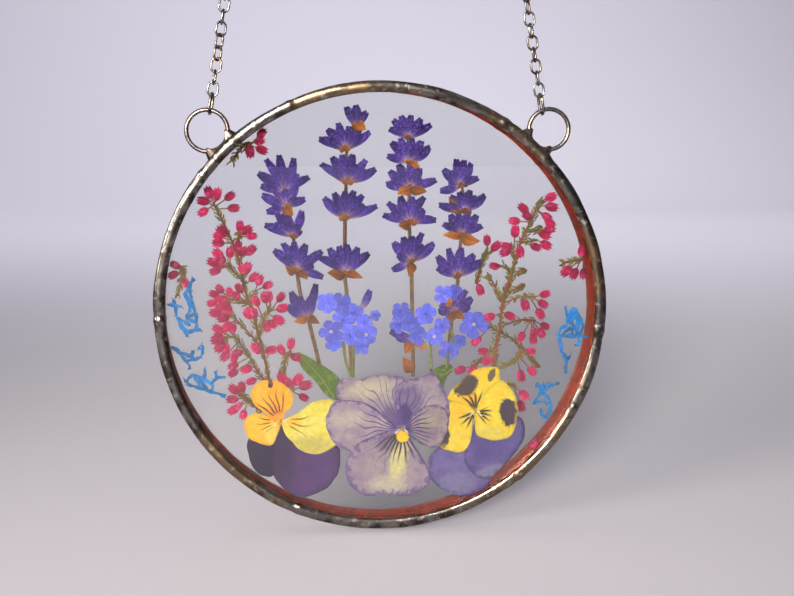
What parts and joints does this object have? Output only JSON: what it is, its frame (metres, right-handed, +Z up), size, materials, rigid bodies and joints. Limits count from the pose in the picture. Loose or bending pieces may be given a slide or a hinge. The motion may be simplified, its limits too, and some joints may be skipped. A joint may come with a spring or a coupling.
{
  "type": "pressed flower suncatcher",
  "caption": "Round glass suncatcher: pressed violas, lavender, heather and forget-me-nots between two panes in a soldered rim, hung by two short chains.",
  "frame": {"origin": "middle of the rail line that the two hooks hang on, straight above the disc's centre", "axes": "+Z up, -Y out of the disc's front, +X to the right as seen from the front"},
  "size_m": [0.103, 0.0088, 0.1396],
  "materials": {
    "clear_glass": "polished clear window glass",
    "copper_foil": "bare copper foil, burnished",
    "patinated_solder": "lumpy tin-lead solder with a dark patina, rubbed bright on its crest",
    "dark_chain_metal": "gunmetal grey with a warm brown patina",
    "orange_purple_viola": "matt pressed petals, orange, yellow and dark purple",
    "grey_violet_viola": "matt pressed petals, lavender grey with violet veins",
    "yellow_blue_viola": "matt pressed petals, yellow above and blue violet below",
    "forget_me_not_blue": "matt pressed petals, periwinkle blue",
    "dried_lavender": "dry matt violet buds on brown stems",
    "heather_pink": "dry matt magenta bells on brown stems",
    "green_leaf": "pressed green leaf",
    "blue_lichen": "matt, dyed azure blue"
  },
  "bodies": {
    "hooks": {"hook_left": "dark_chain_metal", "hook_right": "dark_chain_metal"},
    "chains": {"end_link_left": "dark_chain_metal", "end_link_right": "dark_chain_metal", "chain_link_left_01": "dark_chain_metal", "chain_link_left_02": "dark_chain_metal", "chain_link_left_03": "dark_chain_metal", "chain_link_left_04": "dark_chain_metal", "chain_link_left_05": "dark_chain_metal", "chain_link_left_06": "dark_chain_metal", "chain_link_left_07": "dark_chain_metal", "chain_link_left_08": "dark_chain_metal", "chain_link_left_09": "dark_chain_metal", "chain_link_left_10": "dark_chain_metal", "chain_link_right_01": "dark_chain_metal", "chain_link_right_02": "dark_chain_metal", "chain_link_right_03": "dark_chain_metal", "chain_link_right_04": "dark_chain_metal", "chain_link_right_05": "dark_chain_metal", "chain_link_right_06": "dark_chain_metal", "chain_link_right_07": "dark_chain_metal", "chain_link_right_08": "dark_chain_metal", "chain_link_right_09": "dark_chain_metal", "chain_link_right_10": "dark_chain_metal"},
    "disc": {"glass_front": "clear_glass", "glass_back": "clear_glass", "copper_foil": "copper_foil", "solder_rim": "patinated_solder", "jump_ring_left": "dark_chain_metal", "jump_ring_right": "dark_chain_metal", "viola_left": "orange_purple_viola", "viola_centre": "grey_violet_viola", "viola_right": "yellow_blue_viola", "forget_me_not_left": "forget_me_not_blue", "forget_me_not_middle": "forget_me_not_blue", "forget_me_not_upper": "forget_me_not_blue", "forget_me_not_single": "forget_me_not_blue", "forget_me_not_lower": "forget_me_not_blue", "lavender_left": "dried_lavender", "lavender_middle_left": "dried_lavender", "lavender_middle_right": "dried_lavender", "lavender_right": "dried_lavender", "lavender_bud": "dried_lavender", "heather_left": "heather_pink", "heather_low_left": "heather_pink", "heather_low_middle": "heather_pink", "heather_right": "heather_pink", "heather_shoot": "heather_pink", "heather_low_right": "heather_pink", "heather_top_left": "heather_pink", "heather_left_edge": "heather_pink", "heather_right_edge": "heather_pink", "heather_bell": "heather_pink", "leaf_left": "green_leaf", "leaf_right": "green_leaf", "lichen_left_high": "blue_lichen", "lichen_left_middle": "blue_lichen", "lichen_left_low": "blue_lichen", "lichen_right_high": "blue_lichen", "lichen_right_low": "blue_lichen"}
  },
  "joints": [
    {"name": "chain_swing", "type": "hinge", "parent": "hooks", "child": "chains", "pos_m": [0, 0, -0.008], "axis": [1, 0, 0], "range_deg": [-45, 45]},
    {"name": "disc_swing", "type": "hinge", "parent": "chains", "child": "disc", "pos_m": [0, 0, -0.03856], "axis": [1, 0, 0], "range_deg": [-80, 80]}
  ]
}
